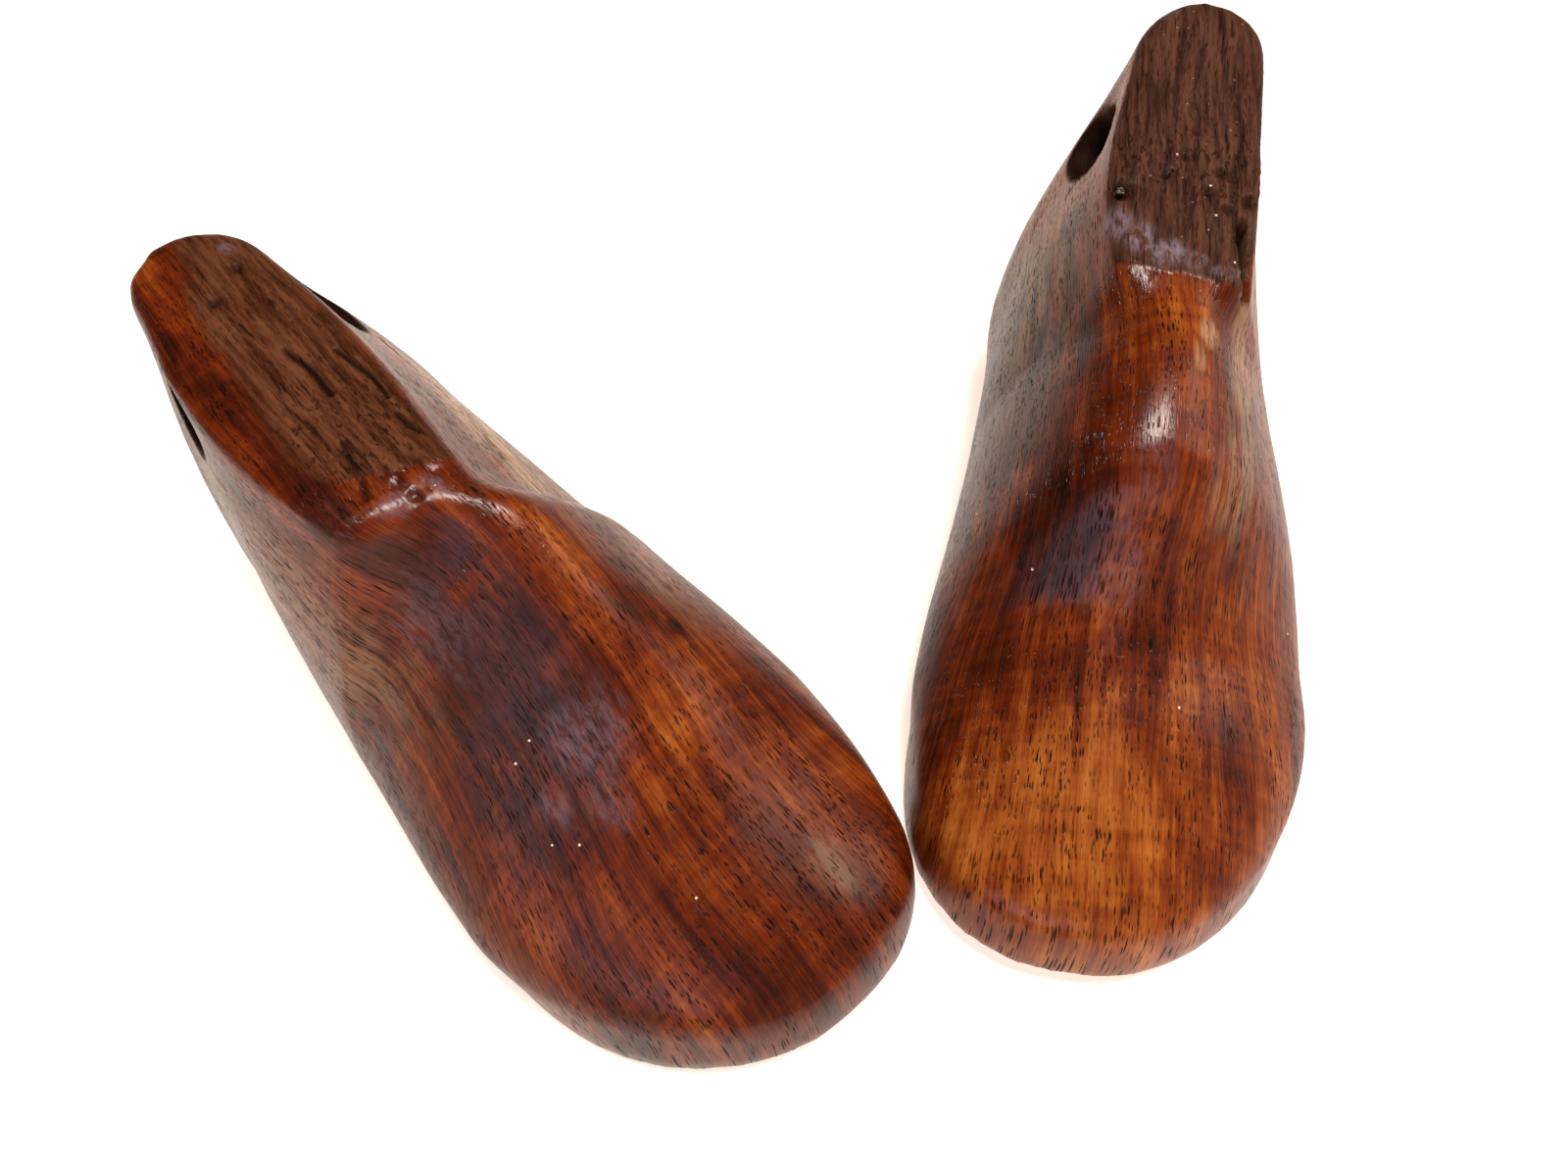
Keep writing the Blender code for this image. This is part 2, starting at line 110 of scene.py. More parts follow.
# Zones of a last, each a pair of values between which it fades in. The hump is the front lip's raised
# edge, measured forwards from where it starts; the edge zone keeps clear of the hole's wall.
HUMP_LENGTH = 0.0021
HUMP_END = (-0.026, -0.014)
HUMP_LEVEL = (0.034, 0.042)
EDGE_LEVEL = (0.044, 0.049)
EDGE_OFF_HOLE = (HOLE_RADIUS + 0.0004, HOLE_RADIUS + 0.0025)
RIM_BOTTOM = (0.0045, 0.007)
RIM_TOP = (0.018, 0.014)
TOP_FACING = (0.35, 0.60)
TOP_LEVEL = (0.045, 0.050)
LIP_FADE = (-0.0005, 0.0004)
BARE_INNER_FADE = (-0.0012, 0.0012)
BARE_OUTER_FADE = (0.0016, -0.0016)
PITTED_FADE = (0.003, -0.003)
# Where the hole's bore is darkened with painted shade
BORE_FADE = (HOLE_RADIUS + 0.0011, HOLE_RADIUS + 0.0004)
TINT_FADE = (1.3, 0.4)
TINT_HEIGHT = 2

# The left top's heel end reaches a little further back and up than the carved block's facets
HEEL_END_BACK = 0.0014
HEEL_END_RISE = 0.0009
HEEL_END_ALONG = (0.020, 0.002)
HEEL_END_LEVEL = (0.038, 0.060)

# Grain: it follows the last's length, folds over the sides, and stands upright on the heel's back
CROWN_STATIONS = 90
HEEL_GRAIN_ALONG = (0.012, 0.001)
HEEL_GRAIN_FACING = (0.75, 0.35)
SIDE_FOLD = 0.8
FOLD_FADE = (0.130, 0.080)
GRAIN_RISE = 0.12

# Uneven layers: size of the lumps, their height, and what tells their random numbers apart
Lumps = namedtuple("Lumps", "size height seed")
TOP_RELIEF = (
    Lumps((0.014, 0.0022, 0.01), 0.00012, 0),
    Lumps((0.009, 0.0008, 0.01), 0.00006, 1),
    Lumps((0.005, 0.003, 0.01), 0.00012, 3),
)
BODY_RELIEF = (Lumps((0.020, 0.012, 0.012), 0.00016, 4), Lumps((0.010, 0.0035, 0.0035), 0.00005, 5))
BARE_EDGE = (Lumps((0.008, 0.003, 0.01), 0.0012, 8), Lumps((0.003, 0.0010, 0.01), 0.0008, 10))
LIP_EDGE = (Lumps(0.0015, 0.0003, 9),)
TINT_EDGE = (Lumps((0.006, 0.004, 0.004), 0.30, 0), Lumps((0.003, 0.0014, 0.0014), 0.15, 1))
GROOVE_EDGE = (Lumps(0.0012, 0.45, 31),)
DENT_EDGE = (Lumps(0.0010, 0.35, 32),)
GROOVE_REACH = 5
DENT_REACH = 4

# Whole numbers that mix a cell's place and a seed into a repeatable random number
CELL_MIXERS = (73856093, 19349663, 83492791)
SEED_MIXER = 2654435761
SEED_START = 11
MIXING_ROUNDS = ((13, 1274126177), (15, 2246822519))
LAST_SHIFT = 11
LOW_BITS = 0xFFFFFF
POSITIVE_BITS = 0x7FFFFFFF
RANDOM_VALUES = 65521

# Colours of the stained wood by tone, from its dark to its light streaks, and of the worn flat tops
WOOD_SHADES = (
    (0.15, (0.022, 0.0030, 0.0008)), (0.33, (0.070, 0.0085, 0.0013)), (0.47, (0.150, 0.020, 0.0022)),
    (0.60, (0.250, 0.045, 0.0050)), (0.74, (0.400, 0.100, 0.0130)), (0.92, (0.520, 0.170, 0.0280)),
)
LEFT_TOP_SHADES = ((0.034, 0.0120, 0.0075), (0.130, 0.0500, 0.0280))
RIGHT_TOP_SHADES = ((0.055, 0.0140, 0.0055), (0.165, 0.0560, 0.0240))
FIBRE_COLOUR = (0.030, 0.004, 0.001, 1)
# Pale worn wood and painted sheen and highlights, laid on where the pale tints are
PALE_WOOD_AND_SHEEN = (0.50, 0.29, 0.16, 1)
# Lilac of a painted reflection of a bluish window, laid on where the lilac tints are
LILAC_PAINTED_REFLECTION = (0.28, 0.20, 0.24, 1)
PORE_COLOUR = (0.010, 0.003, 0.001, 1)
TORN_COLOUR = (0.018, 0.006, 0.003, 1)
# Painted shade inside the cracks, dents and the hole's bore
HOLLOW_SHADE_COLOUR = (0.006, 0.003, 0.002, 1)
DUST_COLOUR = (0.45, 0.30, 0.20, 1)
# Pale chips, and painted glints of a highlight
PALE_SPECK_AND_GLINT_COLOUR = (0.85, 0.74, 0.60, 1)

# Noise in the wood: lumps for each millimetre along the grain, round the section and up, then detail,
# roughness and distortion
Pattern = namedtuple("Pattern", "scale detail roughness distortion", defaults=(3.0, 0.55, 0.0))
MOTTLE = Pattern((0.050, 0.11, 0.10))
CLOUD = Pattern((0.14, 0.40, 0.30), 4.0, 0.62)
STREAKS = Pattern((0.035, 0.65, 0.25), 3.0, 0.60)
LINES = Pattern((0.12, 2.4, 0.60), 2.0, 0.5)
BANDS = Pattern((0.60, 0.07, 0.06), 2.0)
FIBRE = Pattern((0.25, 5.5, 1.5), 2.0, 0.6)
WEAR = Pattern((0.10, 0.8, 0.3), 4.0, 0.70)
PORE_PATCHES = Pattern((0.07, 0.22, 0.2), 2.0)
TEARS = Pattern((0.15, 1.3, 0.3), 3.0, 0.65, 0.2)
PITS = Pattern((0.60, 1.1, 0.3), 3.0, 0.6, 0.2)
SWIRL = Pattern((0.45, 0.80, 0.5), 4.0, 0.7, 0.5)

# Dashes or dots scattered over the wood: cells for each millimetre, size in cells, and the share of cells
# that have one; inside each, the share that is full, and how softly chance picks the cells
Dashes = namedtuple("Dashes", "scale size share")
LONG_PORES = Dashes((0.34, 1.9, 0.5), 0.36, 0.60)
SHORT_PORES = Dashes((0.70, 3.4, 0.8), 0.38, 0.75)
DUST_DOTS = Dashes((0.7, 0.7, 0.7), 0.13, 0.30)
DASH_CORE = 0.45
DASH_FADE = 0.15

# The grain sways a little, and starts elsewhere on each last
GRAIN_SHIFT = 37.0
SWAY_SCALE = 0.04
SWAY_DETAIL = 1.0
SWAY = (0.0, 3.0, 0.0)

# Tone of the wood: its patterns' weights, what it starts from so that their sum is near the middle, and
# how much the orange and dark patches change it; the dark ones are partly painted shade
TONE_START = -0.59
TONE_WEIGHTS = ((STREAKS, 0.50), (LINES, 0.35), (MOTTLE, 0.60), (CLOUD, 0.45), (BANDS, 0.25))
TONE_PATCHES = (("orange", 0.24), ("dark", -0.34))

# What the wood's colour, bump and varnish share: noise values, and shares of pores, torn wood, hollows
# darkened with painted shade (the cracks, dents and the hole's bore) and bare wood
Surface = namedtuple("Surface", "fibre wear pore torn hidden bare")

# Ranges that turn a value into a share: from low and high, to low and high where these aren't 0 and 1
FIBRE_BY_NOISE = (0.50, 0.72, 0.0, 0.45)
PALE_AND_SHEEN_BY_NOISE = (0.36, 0.58)
SHADE_BY_WEAR = (0.34, 0.68)
REFLECTION_BY_SWIRL = (0.34, 0.66)
PORES_BY_PATCH = (0.36, 0.56, 0.30, 1.0)
PORES_BY_BARE = (0.0, 1.0, 0.95, 0.45)
TEARS_BY_NOISE = (0.60, 0.66)
PITS_BY_NOISE = (0.585, 0.64)
SPECK_BY_GAP = (0.221, 0.136)
COAT_BY_BARE = (0.0, 0.7, 0.50, 0.06)
TORN_DARKNESS = 0.70
HOLLOW_SHADE_STRENGTH = 0.95

# Heights of the material's own relief, as shares of its bump
FIBRE_HEIGHT = 0.35
PORE_HEIGHT = -0.9
TORN_HEIGHT = -2.5
WEAR_HEIGHT = 2.0
BUMP_STRENGTH = 0.8
BUMP_HEIGHT = 0.00013
WOOD_ROUGHNESS = 0.50
WOOD_SPECULAR = 0.04
COAT_ROUGHNESS = 0.20

# The brad's steel: dark with bright spots, and smoother where bright
STEEL_SCALE = 2600.0
STEEL_DETAIL = 3.0
BRIGHT_BY_NOISE = (0.50, 0.66)
ROUGH_BY_NOISE = (0.3, 0.7, 0.55, 0.25)
STEEL_DARK = (0.035, 0.022, 0.016, 1)
STEEL_BRIGHT = (0.60, 0.54, 0.46, 1)

# Marks of use and painted light, at places s, u, z. A groove is the points it follows, its width and its
# depth; a dent is its place, width, depth and the darkness of its painted shade, which grooves get too; a
# tint is its place, its reach along and across the last, and its strength; a speck is its place. Dark tints
# are partly dark stain and partly painted shade, pale tints partly pale worn wood and partly painted sheen
# and highlights, and lilac tints painted reflections; the specks are pale chips, and some are painted glints.
Marks = namedtuple("Marks", "grooves dents dark orange pale lilac specks")
LEFT_MARKS = Marks(
    grooves=(
        (((0.0170, -0.0116, 0.0462), (0.0230, -0.0126, 0.0450), (0.0295, -0.0130, 0.0431),
          (0.0378, -0.0142, 0.0405)), 0.00035, 0.00050),
        (((0.0290, -0.0102, 0.0488), (0.0306, -0.0086, 0.0535), (0.0325, -0.0076, 0.0555)), 0.00045, 0.0008),
        (((0.0345, -0.0092, 0.0500), (0.0340, -0.0080, 0.0548), (0.0330, -0.0060, 0.0566)), 0.0004, 0.0006),
        (((0.0385, 0.0086, 0.0558), (0.0420, 0.0090, 0.0548), (0.0455, 0.0094, 0.0535),
          (0.0480, 0.0100, 0.0510)), 0.0008, 0.0020),
    ),
    dents=(
        ((0.0337, -0.0081, 0.0563), 0.0013, 0.0006, 1.0),
        ((0.0345, 0.0098, 0.0567), 0.0012, 0.0006, 0.9),
        ((0.0310, -0.0020, 0.0575), 0.0010, 0.0005, 0.8),
        ((0.0335, 0.0040, 0.0570), 0.0009, 0.0006, 0.8),
        ((0.0300, 0.0060, 0.0580), 0.0011, 0.0005, 0.8),
        ((0.0360, 0.0065, 0.0562), 0.0008, 0.0006, 0.8),
        ((0.0275, 0.0010, 0.0585), 0.0012, 0.0004, 0.8),
    ),
    # Dark tints: partly painted shade in the hollow and on the flank towards the big toe, partly dark
    # mottling of the stain
    dark=(
        ((0.0790, -0.0150, 0.037), 0.014, 0.008, 0.85),
        ((0.0660, -0.0120, 0.044), 0.018, 0.005, 0.45),
        ((0.0900, -0.0200, 0.027), 0.020, 0.006, 0.35),
        ((0.0480, -0.0110, 0.045), 0.024, 0.004, 0.60),
        ((0.0500, -0.0200, 0.030), 0.034, 0.012, 0.95),
        ((0.0720, 0.0100, 0.038), 0.020, 0.004, 0.40),
        ((0.0950, -0.0020, 0.027), 0.007, 0.005, 0.45),
        ((0.0990, -0.0130, 0.026), 0.008, 0.010, 0.40),
        ((0.1050, 0.0140, 0.022), 0.008, 0.007, 0.45),
        ((0.1000, -0.0280, 0.018), 0.025, 0.004, 0.60),
    ),
    orange=(
        ((0.0530, 0.0000, 0.052), 0.007, 0.006, 0.45),
        ((0.1120, -0.0080, 0.020), 0.014, 0.016, 1.0),
        ((0.1250, -0.0060, 0.012), 0.006, 0.020, 0.45),
        ((0.1000, 0.0030, 0.025), 0.009, 0.008, 0.55),
        ((0.1100, 0.0140, 0.019), 0.010, 0.010, 0.45),
    ),
    # Pale tints: partly pale worn wood, partly painted sheen on the flanks
    pale=(
        ((0.0553, 0.0039, 0.0512), 0.0022, 0.0015, 1.0),
        ((0.0603, 0.0022, 0.0514), 0.0022, 0.0008, 0.7),
        ((0.0488, 0.0105, 0.0505), 0.0014, 0.0016, 0.7),
        ((0.0560, 0.0100, 0.0460), 0.0140, 0.0030, 0.50),
        ((0.0700, 0.0090, 0.0410), 0.0120, 0.0045, 0.45),
        ((0.0163, -0.0108, 0.0452), 0.0012, 0.0009, 0.9),
        ((0.0250, -0.0170, 0.0380), 0.0260, 0.0080, 0.36),
        ((0.0520, -0.0200, 0.0300), 0.0220, 0.0060, 0.24),
    ),
    # Lilac tints: painted reflections of a bluish window at the lip, on the heel's top edge and along the
    # ridge
    lilac=(
        ((0.0393, -0.0085, 0.0560), 0.0030, 0.0024, 0.9),
        ((0.0415, -0.0055, 0.0555), 0.0032, 0.0028, 1.0),
        ((0.0436, -0.0020, 0.0548), 0.0026, 0.0028, 0.9),
        ((0.0448, 0.0020, 0.0545), 0.0014, 0.0022, 0.6),
        ((0.0462, 0.0060, 0.0540), 0.0010, 0.0026, 0.6),
        ((0.0010, -0.0060, 0.0650), 0.0034, 0.0060, 0.9),
        ((0.0750, -0.0035, 0.0460), 0.0090, 0.0028, 0.15),
        ((0.0860, -0.0058, 0.0345), 0.0090, 0.0042, 0.20),
    ),
    specks=(
        (0.0322, 0.0044, 0.0573), (0.0372, 0.0050, 0.0561), (0.0397, 0.0039, 0.0554),
        (0.0273, -0.0002, 0.0585), (0.0445, 0.0074, 0.0543), (0.0712, -0.0235, 0.0273),
        (0.0834, -0.0166, 0.0321), (0.0767, 0.0123, 0.0366), (0.0835, 0.0219, 0.0217),
        (0.0989, 0.0040, 0.0252), (0.0163, -0.0106, 0.0451),
    ),
)
RIGHT_MARKS = Marks(
    grooves=(
        (((0.0205, -0.0123, 0.0417), (0.0274, -0.0128, 0.0405), (0.0333, -0.0135, 0.0391),
          (0.0418, -0.0131, 0.0398), (0.0496, -0.0130, 0.0401)), 0.00045, 0.0009),
        (((0.0474, -0.0034, 0.0546), (0.0508, -0.0039, 0.0542)), 0.0004, 0.0006),
        (((0.0174, 0.0150, 0.0483), (0.0192, 0.0162, 0.0434)), 0.0003, 0.0003),
        (((0.0231, 0.0154, 0.0460), (0.0254, 0.0156, 0.0430)), 0.0003, 0.0003),
        (((0.0300, 0.0020, 0.0565), (0.0350, 0.0010, 0.0560), (0.0395, 0.0012, 0.0555)), 0.0004, 0.0006),
        (((0.0340, -0.0030, 0.0560), (0.0400, -0.0042, 0.0553), (0.0440, -0.0040, 0.0549)), 0.0004, 0.0005),
        (((0.0470, 0.0040, 0.0545), (0.0520, 0.0050, 0.0539), (0.0550, 0.0060, 0.0536)), 0.0005, 0.0005),
    ),
    dents=(
        ((0.0146, -0.0003, 0.0584), 0.0009, 0.0006, 0.8),
        ((0.0183, 0.0050, 0.0580), 0.0008, 0.0006, 0.9),
        ((0.0546, 0.0005, 0.0537), 0.0008, 0.00035, 0.15),
        ((0.0558, 0.0022, 0.0536), 0.0008, 0.00035, 0.15),
        ((0.0568, -0.0022, 0.0535), 0.0009, 0.0003, 0.1),
        ((0.0582, 0.0015, 0.0533), 0.0008, 0.00035, 0.1),
        ((0.0820, -0.0140, 0.0370), 0.0009, 0.0003, 0.5),
    ),
    dark=(
        ((0.0520, 0.0105, 0.054), 0.014, 0.0030, 0.55),
        ((0.0780, 0.0060, 0.037), 0.016, 0.008, 0.45),
        ((0.0880, 0.0100, 0.029), 0.010, 0.008, 0.35),
        ((0.0630, 0.0050, 0.047), 0.006, 0.006, 0.50),
        ((0.0840, -0.0152, 0.0353), 0.0014, 0.0012, 0.8),
    ),
    orange=(
        ((0.0120, 0.0090, 0.0585), 0.016, 0.0035, 0.65),
        ((0.0360, -0.0068, 0.0550), 0.012, 0.0018, 0.9),
        ((0.0750, -0.0070, 0.046), 0.012, 0.0045, 0.8),
        ((0.0900, -0.0100, 0.033), 0.008, 0.006, 0.6),
        ((0.1080, -0.0180, 0.019), 0.012, 0.007, 0.30),
    ),
    # Pale tints: partly pale worn wood, partly painted sheen on the flanks and a painted highlight on the toe
    pale=(
        ((0.0400, -0.0150, 0.0390), 0.0300, 0.0040, 1.0),
        ((0.0620, -0.0190, 0.0320), 0.0200, 0.0045, 0.45),
        ((0.0450, 0.0180, 0.0360), 0.0300, 0.0060, 0.40),
        ((0.1170, -0.0130, 0.0180), 0.0050, 0.0030, 0.30),
    ),
    # Lilac tints: painted reflections of a bluish window at the lip, in the hollow and near the heel
    lilac=(
        ((0.0575, 0.0030, 0.0530), 0.0016, 0.0030, 0.35),
        ((0.0583, -0.0008, 0.0533), 0.0016, 0.0015, 0.7),
        ((0.0672, 0.0078, 0.0408), 0.0080, 0.0050, 0.22),
        ((0.0874, 0.0017, 0.0326), 0.0060, 0.0050, 0.34),
        ((0.0935, 0.0045, 0.0276), 0.0040, 0.0035, 0.28),
        ((0.0900, 0.0095, 0.0275), 0.0030, 0.0022, 0.26),
        ((0.0108, -0.0010, 0.0588), 0.0016, 0.0010, 0.45),
    ),
    specks=(
        # Pale chips, and at the lip four painted glints of its highlight
        (0.0830, 0.0076, 0.0328), (0.0834, 0.0105, 0.0307), (0.0923, 0.0128, 0.0242),
        (0.0947, 0.0103, 0.0245), (0.1089, 0.0034, 0.0217), (0.0070, 0.0062, 0.0590),
        (0.0077, 0.0070, 0.0588), (0.0583, -0.0008, 0.0533), (0.0586, -0.0005, 0.0532),
        (0.0581, -0.0005, 0.0534), (0.0585, -0.0011, 0.0532),
    ),
)

# Each last's own looks. Its lip is the flat top's front edge, as places across and along the last, and
# hump_start how far behind it the raised edge starts. Bare wood lies between a limit towards the big toe
# and limits towards the little toe at places along the last. Pitted wood has a middle and a half length.
TINTS = ("dark", "orange", "pale", "lilac")
TINT_SEED = 50
TINT_SEED_STEP = 10
LOOK_NAMES = "lip hump_start bare_inner bare_outer pitted seed marks tone dust top_shades"
Last = namedtuple("Last", "node body slot heel along across hole " + LOOK_NAMES)
LEFT_LOOKS = {
    "lip": ((-0.0090, -0.0052, -0.0012, 0.0028, 0.0085), (0.0452, 0.0459, 0.0466, 0.0472, 0.0480)),
    "hump_start": -0.0004,
    "bare_inner": -0.0200,
    "bare_outer": ((0.0, 0.0600), (0.0200, 0.0200)),
    "pitted": (0.028, 0.007),
    "seed": 1,
    "marks": LEFT_MARKS,
    "tone": 0.05,
    "dust": 0.7,
    "top_shades": LEFT_TOP_SHADES,
}
RIGHT_LOOKS = {
    "lip": (
        (-0.0054, -0.0016, 0.0021, 0.0061, 0.0096, 0.0110),
        (0.0569, 0.0581, 0.0590, 0.0593, 0.0588, 0.0565),
    ),
    "hump_start": 0.0040,
    "bare_inner": -0.0054,
    "bare_outer": (
        (0.0060, 0.0140, 0.0220, 0.0460, 0.0515, 0.0570),
        (0.0045, 0.0056, 0.0088, 0.0092, 0.0070, -0.0080),
    ),
    "pitted": (0.047, 0.008),
    "seed": 2,
    "marks": RIGHT_MARKS,
    "tone": -0.05,
    "dust": 0.15,
    "top_shades": RIGHT_TOP_SHADES,
}


def mount_place(name):
    """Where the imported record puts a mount."""
    return next(np.array(m["pos_m"]) for m in frame["record"]["mounts"] if m["name"] == name)


def hole_line(foot):
    """Two points on the middle of a last's hole, from the record's openings."""
    halves = [o["box_m"] for o in frame["record"]["physics"]["openings"] if o["name"].startswith(foot)]
    return [np.mean(box, axis=0) for box in halves]


def find_last(foot, side, looks):
    """A last's place and directions, read from the frame; side is 1 where u points left of s, else -1."""
    heel_seat, tread = mount_place(foot + "_heel_seat"), mount_place(foot + "_tread")
    along = (tread - heel_seat) / np.linalg.norm(tread - heel_seat)
    across = side * np.cross((0, 0, 1), along)
    heel = heel_seat - HEEL_SEAT_PLACE * along
    node, body, slot = foot + "_foot_last", foot + "_last", foot + "_last_wood"
    return Last(node, body, slot, heel, along, across, hole_line(foot), **looks)


def to_local(last, points):
    """World points as s, u and z of a last."""
    offset = points - last.heel
    return np.stack([offset @ last.along, offset @ last.across, offset[:, 2]], axis=1)


def lattice(cells, seed):
    """A repeatable number from 0 to 1 for each whole-numbered cell."""
    mixed = (seed + SEED_START) * SEED_MIXER
    for axis, mixer in enumerate(CELL_MIXERS):
        mixed = mixed ^ (cells[:, axis].astype(np.int64) * mixer)
    for shift, mixer in MIXING_ROUNDS:
        mixed = (mixed ^ (mixed >> shift)) * mixer & POSITIVE_BITS
    return (mixed ^ (mixed >> LAST_SHIFT) & LOW_BITS) % RANDOM_VALUES / (RANDOM_VALUES - 1)


def noise(points, size, seed):
    """Smooth noise from -1 to 1 whose lumps have the given size, or size on each axis."""
    scaled = points / np.asarray(size)
    cell = np.floor(scaled)
    part = scaled - cell
    part = part * part * (3 - 2 * part)
    total = np.zeros(len(points))
    for corner in np.ndindex(2, 2, 2):
        weight = np.prod(np.where(corner, part, 1 - part), axis=1)
        total += weight * lattice(cell + corner, seed)
    return total * 2 - 1


def uneven(points, layers, seed=0):
    """The sum of some layers of lumps at each point."""
    return sum(layer.height * noise(points, layer.size, seed + layer.seed) for layer in layers)


def ramp(value, start, end):
    """0 before start, 1 past end, eased between them; start may be the larger."""
    t = np.clip((value - start) / (end - start), 0, 1)
    return t * t * (3 - 2 * t)


def corner_normals(points, faces):
    """Normals for each corner of each face, averaged over the faces that bend less than the crease angle."""
    edge_a, edge_b = points[faces[:, 1]] - points[faces[:, 0]], points[faces[:, 2]] - points[faces[:, 0]]
    weighted = np.cross(edge_a, edge_b)
    unit = weighted / np.maximum(np.linalg.norm(weighted, axis=1, keepdims=True), TINY)
    around = [[] for _ in points]
    for face, corners in enumerate(faces):
        for corner in corners:
            around[corner].append(face)
    normals = np.zeros((len(faces), 3, 3))
    for face, corners in enumerate(faces):
        for k, corner in enumerate(corners):
            near = np.array(around[corner])
            near = near[unit[near] @ unit[face] > math.cos(CREASE_ANGLE)]
            total = weighted[near].sum(axis=0)
            normals[face, k] = total / np.linalg.norm(total)
    return normals


def weld(node):
    """Points and triangles of a node's mesh, with its split corners joined again."""
    mesh = node.data
    mesh.calc_loop_triangles()
    points = np.array([v.co for v in mesh.vertices], float)
    faces = np.array([t.vertices for t in mesh.loop_triangles])
    rounded = np.round(points, WELD_DIGITS)
    _, first, place = np.unique(rounded, axis=0, return_index=True, return_inverse=True)
    faces = place.reshape(-1)[faces]
    kept = (faces[:, 0] != faces[:, 1]) & (faces[:, 1] != faces[:, 2]) & (faces[:, 0] != faces[:, 2])
    return points[first], faces[kept]


def rounded_facets(points, faces):
    """Split each triangle into small ones that bulge towards its corners' tangent planes."""
    normals = corner_normals(points, faces)
    n = FACET_SPLITS
    grid = [(i, j) for i in range(n + 1) for j in range(n + 1 - i)]
    index = {place: k for k, place in enumerate(grid)}
    weights = np.array([(1 - (i + j) / n, i / n, j / n) for i, j in grid])
    corners = points[faces]
    flat = np.einsum("gk,fkd->fgd", weights, corners)
    bulged = np.zeros_like(flat)
    for k in range(3):
        drop = np.einsum("fgd,fd->fg", flat - corners[:, None, k], normals[:, k])
        bulged += weights[None, :, k, None] * (flat - drop[..., None] * normals[:, None, k])
    fine = flat + ROUNDING_SHARE * (bulged - flat)
    small = []
    for i, j in grid:
        if i + j < n:
            small.append((index[i, j], index[i + 1, j], index[i, j + 1]))
        if i + j < n - 1:
            small.append((index[i + 1, j], index[i + 1, j + 1], index[i, j + 1]))
    small = np.array(small)
    offsets = np.arange(len(faces))[:, None, None] * len(grid)
    return fine.reshape(-1, 3), (small[None] + offsets).reshape(-1, 3)


def mesh_object(name, points, faces):
    """A mesh object from arrays."""
    mesh = bpy.data.meshes.new(name)
    mesh.from_pydata(points.tolist(), [], faces.tolist())
    mesh.update()
    item = bpy.data.objects.new(name, mesh)
    bpy.context.scene.collection.objects.link(item)
    return item


def remesh(item):
    """Replace an object's mesh with an even skin of small quads."""
    modifier = item.modifiers.new("skin", "REMESH")
    modifier.mode = "VOXEL"
    modifier.voxel_size = VOXEL_SIZE
    graph = bpy.context.evaluated_depsgraph_get()
    fine = bpy.data.meshes.new_from_object(item.evaluated_get(graph))
    item.modifiers.clear()
    item.data = fine


def read_points(mesh):
    """A mesh's points as an array."""
    flat = np.zeros(len(mesh.vertices) * 3, np.float32)
    mesh.vertices.foreach_get("co", flat)
    return flat.reshape(-1, 3).astype(float)


def read_normals(mesh):
    """A mesh's point normals as an array."""
    flat = np.zeros(len(mesh.vertices) * 3, np.float32)
    mesh.vertex_normals.foreach_get("vector", flat)
    return flat.reshape(-1, 3).astype(float)


def write_points(mesh, points):
    """Move a mesh's points."""
    mesh.vertices.foreach_set("co", points.astype(np.float32).ravel())
    mesh.update()


def smoothed(mesh, points, zone, steps):
    """Points pulled towards their neighbours' middle; zone is a share, for all or for each point."""
    edges = np.zeros(len(mesh.edges) * 2, np.int32)
    mesh.edges.foreach_get("vertices", edges)
    a, b = edges.reshape(-1, 2).T
    count = np.bincount(a, minlength=len(points)) + np.bincount(b, minlength=len(points))
    amount = PULL * np.broadcast_to(zone, len(points))[:, None]
    for _ in range(steps):
        total = np.stack([
            np.bincount(a, points[b, k], len(points)) + np.bincount(b, points[a, k], len(points))
            for k in range(3)
        ], axis=1)
        points = points + amount * (total / count[:, None] - points)
    return points


def refine(mesh, chosen):
    """Split the faces whose points are all chosen into four."""
    skin = bmesh.new()
    skin.from_mesh(mesh)
    skin.verts.ensure_lookup_table()
    picked = set(np.flatnonzero(chosen).tolist())
    edges = [e for e in skin.edges if e.verts[0].index in picked and e.verts[1].index in picked]
    bmesh.ops.subdivide_edges(skin, edges=edges, cuts=1, use_grid_fill=True)
    skin.to_mesh(mesh)
    skin.free()


def add_attribute(mesh, name, values):
    """Store a number or a vector for each point, for the material to read."""
    values = np.asarray(values, np.float32)
    kind = "FLOAT_VECTOR" if values.ndim == 2 else "FLOAT"
    attribute = mesh.attributes.new(name, kind, "POINT")
    attribute.data.foreach_set("vector" if values.ndim == 2 else "value", values.ravel())


def lip_place(last, local):
    """How far behind the front lip of the flat top each point lies."""
    return np.interp(local[:, 1], *last.lip) + uneven(local, LIP_EDGE, last.seed) - local[:, 0]


def top_share(last, local, normals):
    """1 on the flat top of the cone, fading over its edges and at its front lip."""
    facing = ramp(normals[:, 2], *TOP_FACING)
    return facing * ramp(lip_place(last, local), *LIP_FADE) * ramp(local[:, 2], *TOP_LEVEL)


def bare_share(last, local):
    """1 where the flat top's varnish has worn off, with a ragged edge."""
    outer = np.interp(local[:, 0], *last.bare_outer)
    ragged = local[:, 1] + uneven(local, BARE_EDGE, last.seed)
    return ramp(ragged - last.bare_inner, *BARE_INNER_FADE) * ramp(ragged - outer, *BARE_OUTER_FADE)


